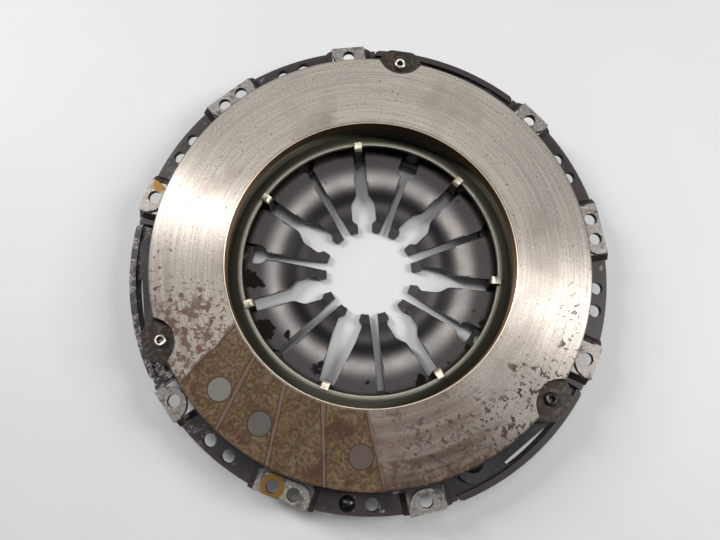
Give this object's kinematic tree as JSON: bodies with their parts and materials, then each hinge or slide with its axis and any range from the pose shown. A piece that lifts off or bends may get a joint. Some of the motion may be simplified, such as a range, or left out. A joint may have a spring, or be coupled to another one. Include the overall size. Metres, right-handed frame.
{
  "type": "clutch pressure plate",
  "caption": "Dished round clutch cover with bolt lugs, holding a ring-shaped cast pressure plate, a slotted diaphragm spring and tangential drive straps.",
  "frame": {"origin": "centre of the bolt circle, on the lug faces that meet the flywheel", "axes": "+Z along the axis towards the flywheel; +X at the zero angle of the station layout"},
  "size_m": [0.2722, 0.2711, 0.0399],
  "materials": {
    "cover_sheet": "satin dark stoving paint, worn at the edges",
    "cast_plate": "ground face, as cast elsewhere",
    "spring_steel": "blued, satin",
    "support_sheet": "phosphated, satin",
    "strap_steel": "blued, satin",
    "rivet_steel": "plain, satin"
  },
  "bodies": {
    "cover": {"cover": "cover_sheet", "support_ring": "support_sheet", "diaphragm_spring": "spring_steel", "drive_strap_1_leaf_1": "strap_steel", "drive_strap_1_leaf_2": "strap_steel", "drive_strap_1_leaf_3": "strap_steel", "drive_strap_2_leaf_1": "strap_steel", "drive_strap_2_leaf_2": "strap_steel", "drive_strap_2_leaf_3": "strap_steel", "drive_strap_3_leaf_1": "strap_steel", "drive_strap_3_leaf_2": "strap_steel", "drive_strap_3_leaf_3": "strap_steel", "seat_rivet_1": "rivet_steel", "seat_rivet_2": "rivet_steel", "seat_rivet_3": "rivet_steel", "balance_rivet": "rivet_steel"},
    "pressure_plate": {"pressure_plate": "cast_plate", "ear_rivet_1": "rivet_steel", "ear_rivet_2": "rivet_steel", "ear_rivet_3": "rivet_steel"}
  },
  "joints": [
    {"name": "plate_travel", "type": "slide", "parent": "cover", "child": "pressure_plate", "axis": [0, 0, 1], "range_m": [-0.0032, 0], "stiffness_N_per_m": 40000, "springref_m": 0.002, "deforming": ["diaphragm_spring", "drive_strap_1_leaf_1", "drive_strap_1_leaf_2", "drive_strap_1_leaf_3", "drive_strap_2_leaf_1", "drive_strap_2_leaf_2", "drive_strap_2_leaf_3", "drive_strap_3_leaf_1", "drive_strap_3_leaf_2", "drive_strap_3_leaf_3"]}
  ]
}
